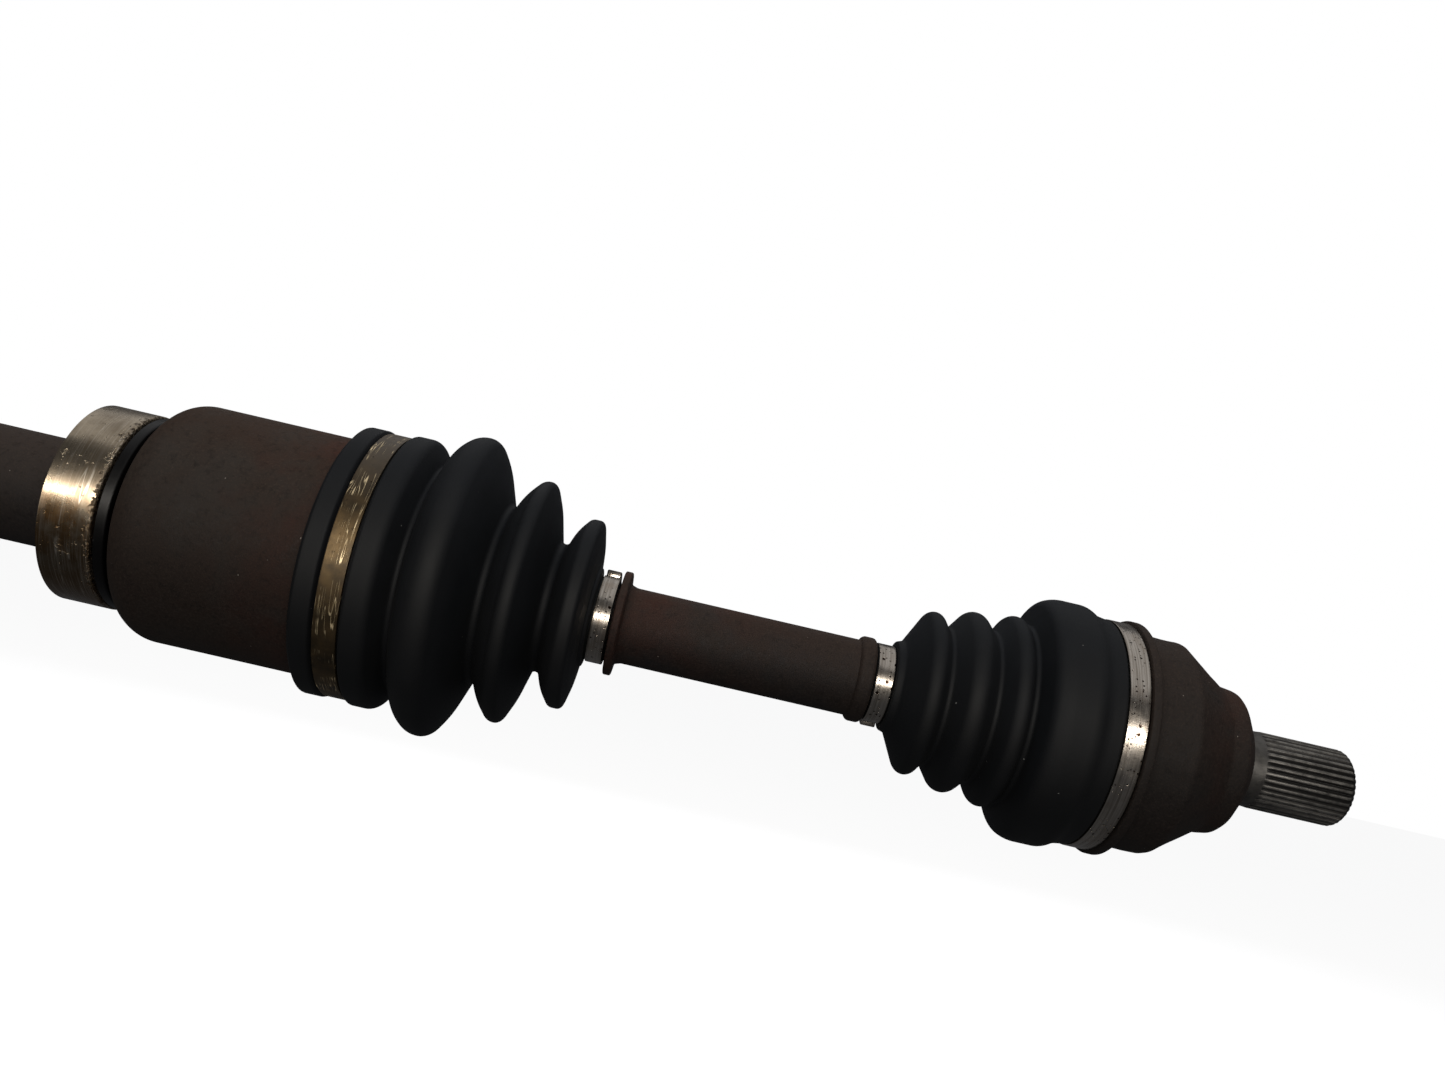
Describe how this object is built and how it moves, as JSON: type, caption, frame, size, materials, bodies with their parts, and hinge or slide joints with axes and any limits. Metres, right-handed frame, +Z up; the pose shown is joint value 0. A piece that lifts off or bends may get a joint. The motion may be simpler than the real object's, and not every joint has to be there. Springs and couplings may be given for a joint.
{
  "type": "cv axle",
  "caption": "Front drive shaft: splined intermediate shaft in a support bearing, plunging tripod joint, middle bar and fixed ball joint with a splined stub, both joints in rubber boots.",
  "frame": {"origin": "centre of the support bearing, on the shaft's axis", "axes": "+X along the shaft towards the wheel end, +Z up, -Y towards the side that is seen"},
  "size_m": [0.893, 0.1044, 0.1044],
  "materials": {
    "bearing_steel": "satin",
    "rusted_steel": "matte",
    "black_rubber": "matte",
    "yellow_passivated_band": "satin",
    "stainless_band": "satin",
    "hardened_joint_steel": "satin",
    "spring_steel": "satin",
    "pressed_cage_steel": "satin"
  },
  "bodies": {
    "bearing_outer": {"bearing_outer_ring": "bearing_steel", "bearing_seal_left": "black_rubber", "bearing_seal_right": "black_rubber"},
    "intermediate": {"intermediate_shaft": "rusted_steel", "inner_joint_housing": "rusted_steel", "bearing_inner_ring": "bearing_steel", "bearing_snap_ring": "spring_steel", "dust_shield": "black_rubber", "inner_boot_large_clamp": "yellow_passivated_band"},
    "bearing_balls": {"bearing_cage": "pressed_cage_steel", "bearing_ball_1": "hardened_joint_steel", "bearing_ball_2": "hardened_joint_steel", "bearing_ball_3": "hardened_joint_steel", "bearing_ball_4": "hardened_joint_steel", "bearing_ball_5": "hardened_joint_steel", "bearing_ball_6": "hardened_joint_steel", "bearing_ball_7": "hardened_joint_steel", "bearing_ball_8": "hardened_joint_steel", "bearing_ball_9": "hardened_joint_steel"},
    "inner_boot_body": {"inner_boot": "black_rubber"},
    "first_roller": {"roller_1": "hardened_joint_steel", "needle_ring_1": "pressed_cage_steel"},
    "mid_shaft": {"axle_bar": "rusted_steel", "spider": "hardened_joint_steel", "spider_circlip": "spring_steel", "roller_2": "hardened_joint_steel", "roller_3": "hardened_joint_steel", "needle_ring_2": "pressed_cage_steel", "needle_ring_3": "pressed_cage_steel", "inner_boot_small_clamp": "stainless_band", "outer_boot_small_clamp": "stainless_band", "inner_race": "hardened_joint_steel", "race_circlip": "spring_steel"},
    "outer_boot_body": {"outer_boot": "black_rubber"},
    "outer_housing": {"outer_joint_housing": "rusted_steel", "outer_boot_large_clamp": "stainless_band"},
    "half_steer": {"joint_ball_1": "hardened_joint_steel"},
    "ball_cage_body": {"ball_cage": "pressed_cage_steel", "joint_ball_2": "hardened_joint_steel", "joint_ball_3": "hardened_joint_steel", "joint_ball_4": "hardened_joint_steel", "joint_ball_5": "hardened_joint_steel", "joint_ball_6": "hardened_joint_steel"}
  },
  "joints": [
    {"name": "axle_spin", "type": "hinge", "parent": "bearing_outer", "child": "intermediate", "pos_m": [0, 0, 0], "axis": [1, 0, 0], "continuous": true},
    {"name": "bearing_cage_spin", "type": "hinge", "parent": "bearing_outer", "child": "bearing_balls", "pos_m": [0, 0, 0], "axis": [1, 0, 0], "continuous": true},
    {"name": "inner_plunge", "type": "slide", "parent": "intermediate", "child": "inner_boot_body", "axis": [1, 0, 0], "range_m": [-0.012, 0.012], "deforming": ["inner_boot"]},
    {"name": "inner_pitch", "type": "hinge", "parent": "inner_boot_body", "child": "first_roller", "pos_m": [0.062, 0, 0], "axis": [0, 1, 0], "range_deg": [-16, 16], "deforming": ["inner_boot"]},
    {"name": "inner_yaw", "type": "hinge", "parent": "first_roller", "child": "mid_shaft", "pos_m": [0.062, 0, 0], "axis": [0, 0, 1], "range_deg": [-12, 12], "deforming": ["inner_boot"]},
    {"name": "outer_steer", "type": "hinge", "parent": "mid_shaft", "child": "outer_boot_body", "pos_m": [0.356, 0, 0], "axis": [0, 0, 1], "range_deg": [-38, 38], "deforming": ["outer_boot"]},
    {"name": "outer_pitch", "type": "hinge", "parent": "outer_boot_body", "child": "outer_housing", "pos_m": [0.356, 0, 0], "axis": [0, 1, 0], "range_deg": [-9.8, 9.8], "deforming": ["outer_boot"]},
    {"name": "cage_steer", "type": "hinge", "parent": "mid_shaft", "child": "half_steer", "pos_m": [0.356, 0, 0], "axis": [0, 0, 1], "range_deg": [-19.5, 19.5]},
    {"name": "cage_pitch", "type": "hinge", "parent": "half_steer", "child": "ball_cage_body", "pos_m": [0.356, 0, 0], "axis": [0, 1, 0], "range_deg": [-5.2, 5.2]}
  ],
  "couplings": [
    {"joint": "bearing_cage_spin", "follows": "axle_spin", "ratio": 0.4204},
    {"joint": "cage_steer", "follows": "outer_steer", "ratio": 0.5},
    {"joint": "cage_pitch", "follows": "outer_pitch", "ratio": 0.5}
  ]
}
